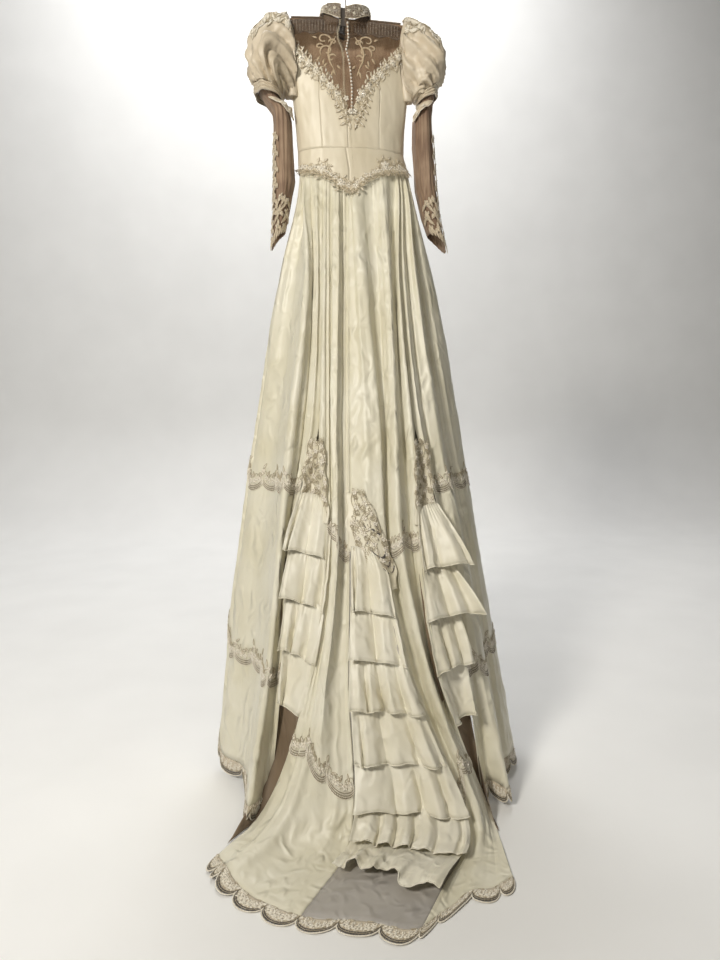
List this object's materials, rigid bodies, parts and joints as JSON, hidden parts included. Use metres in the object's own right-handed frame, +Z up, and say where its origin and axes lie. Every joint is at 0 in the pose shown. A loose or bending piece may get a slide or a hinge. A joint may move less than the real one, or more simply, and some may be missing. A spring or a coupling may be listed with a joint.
{
  "type": "wedding dress on a hanger",
  "caption": "Long-sleeved satin wedding dress with a net yoke, puffed sleeves, gathered skirt, ruffled inserts and a cathedral train, hung from a padded hanger.",
  "frame": {"origin": "inside of the hanger's hook at its top, where the rod that holds it bears", "axes": "+Z up, the back of the dress faces -Y, +X to the right as seen from behind"},
  "size_m": [0.886, 1.0476, 2.3036],
  "materials": {
    "satin": "warm ivory satin with a soft sheen",
    "net": "fine sheer net over the dark inside",
    "lace": "ivory re-embroidered lace",
    "pearls": "pearl buttons on an ivory stand",
    "hanger_cloth": "dark shirred cloth over padding",
    "hook_wire": "bright wire"
  },
  "bodies": {
    "root": {"basque_left": "satin", "basque_right": "satin", "bodice_back_left": "satin", "bodice_back_right": "satin", "bodice_front": "satin", "bodice_side_left": "satin", "bodice_side_right": "satin", "button_stand": "pearls", "collar": "lace", "hanger_bar": "hanger_cloth", "hanger_hook": "hook_wire", "hem_lace_back_left": "lace", "hem_lace_back_right": "lace", "hem_lace_centre": "lace", "hem_lace_front": "lace", "hem_lace_side_left": "lace", "hem_lace_side_right": "lace", "insert_centre": "satin", "insert_left": "satin", "insert_right": "satin", "motif_centre": "lace", "motif_left": "lace", "motif_right": "lace", "neckline_lace_left": "lace", "neckline_lace_right": "lace", "puff_band_left": "satin", "puff_band_right": "satin", "puff_left": "satin", "puff_right": "satin", "ruffle_centre_1": "satin", "ruffle_centre_2": "satin", "ruffle_centre_3": "satin", "ruffle_centre_4": "satin", "ruffle_centre_5": "satin", "ruffle_centre_6": "satin", "ruffle_centre_7": "satin", "ruffle_left_1": "satin", "ruffle_left_2": "satin", "ruffle_left_3": "satin", "ruffle_left_4": "satin", "ruffle_right_1": "satin", "ruffle_right_2": "satin", "ruffle_right_3": "satin", "ruffle_right_4": "satin", "skirt_back_left": "satin", "skirt_back_right": "satin", "skirt_front": "satin", "skirt_side_left": "satin", "skirt_side_right": "satin", "sleeve_flap_left": "lace", "sleeve_flap_right": "lace", "sleeve_lace_left": "lace", "sleeve_lace_right": "lace", "sleeve_left": "net", "sleeve_right": "net", "waist_lace_left": "lace", "waist_lace_right": "lace", "yoke_back_left": "net", "yoke_back_right": "net", "yoke_front": "net"}
  },
  "joints": []
}
